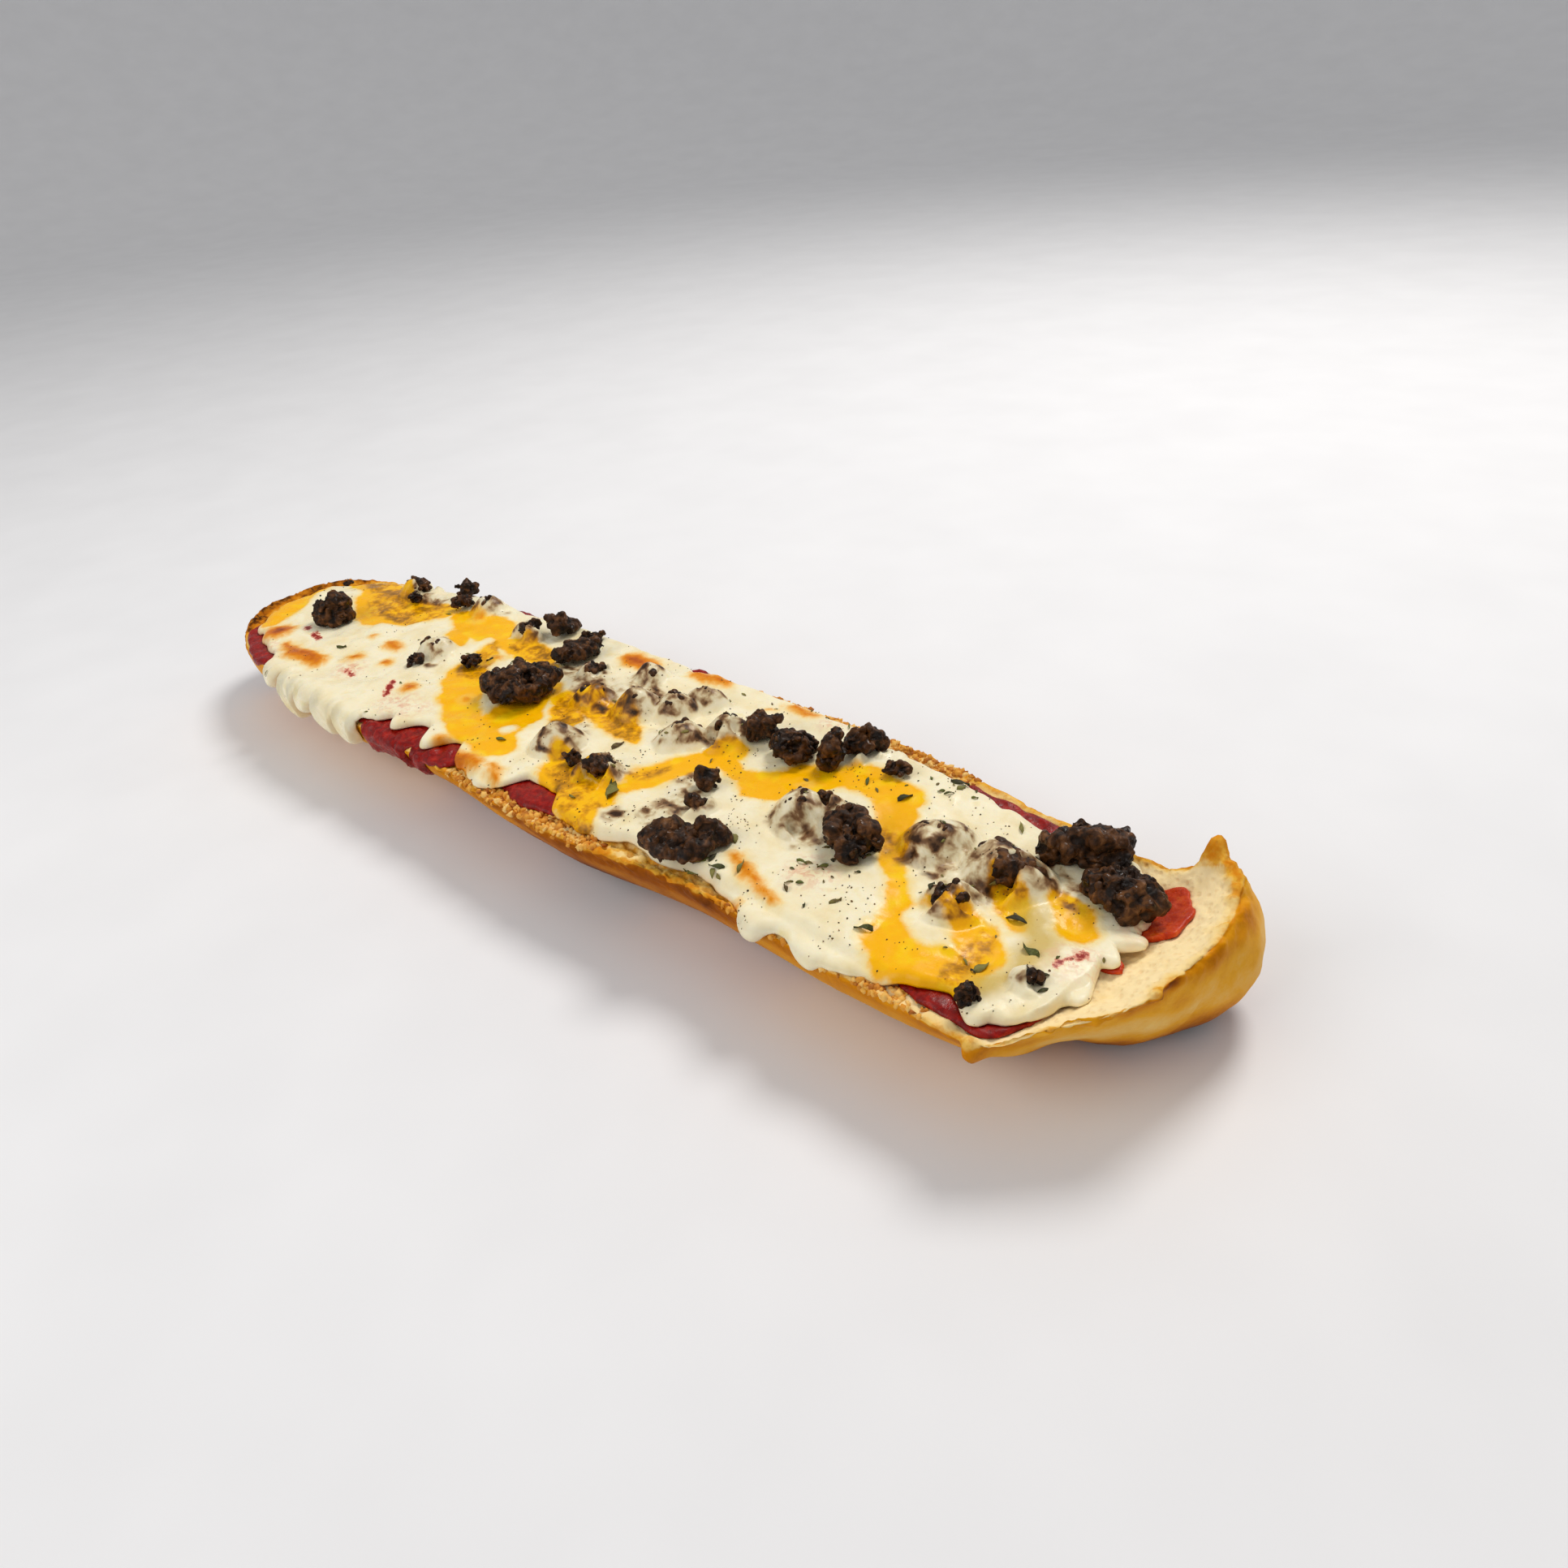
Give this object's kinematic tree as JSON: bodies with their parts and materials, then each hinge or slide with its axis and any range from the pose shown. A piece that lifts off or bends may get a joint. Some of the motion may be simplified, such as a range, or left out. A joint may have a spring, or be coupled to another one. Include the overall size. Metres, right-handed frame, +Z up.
{
  "type": "pizza bread",
  "caption": "Open-faced pizza bread: a halved long crusty loaf, cut side up, under tomato sauce, melted cheese, beef crumbles and dried herbs.",
  "frame": {"origin": "centre of the loaf's footprint, on the surface that it stands on", "axes": "+X along the loaf towards its blunt raised end, +Y across it towards the side with the curled tip of the rim, +Z up from the crust to the toppings"},
  "size_m": [0.4373, 0.1009, 0.0462],
  "materials": {
    "bread": "matte",
    "sauce": "satin",
    "cheese": "satin",
    "beef": "satin"
  },
  "bodies": {
    "root": {"bread": "bread", "sauce": "sauce", "cheese": "cheese", "beef_01": "beef", "beef_02": "beef", "beef_03": "beef", "beef_04": "beef", "beef_05": "beef", "beef_06": "beef", "beef_07": "beef", "beef_08": "beef", "beef_09": "beef", "beef_10": "beef", "beef_11": "beef", "beef_12": "beef", "beef_13": "beef", "beef_14": "beef", "beef_15": "beef", "beef_16": "beef", "beef_17": "beef", "beef_18": "beef", "beef_19": "beef", "beef_20": "beef", "beef_21": "beef", "beef_22": "beef", "beef_23": "beef", "beef_24": "beef", "beef_25": "beef", "beef_26": "beef", "beef_27": "beef", "beef_28": "beef", "beef_29": "beef", "beef_30": "beef", "beef_31": "beef", "beef_32": "beef", "beef_33": "beef", "beef_34": "beef", "beef_35": "beef", "beef_36": "beef", "beef_37": "beef", "beef_38": "beef", "beef_39": "beef", "beef_40": "beef", "beef_41": "beef", "beef_42": "beef", "beef_43": "beef"}
  },
  "joints": []
}
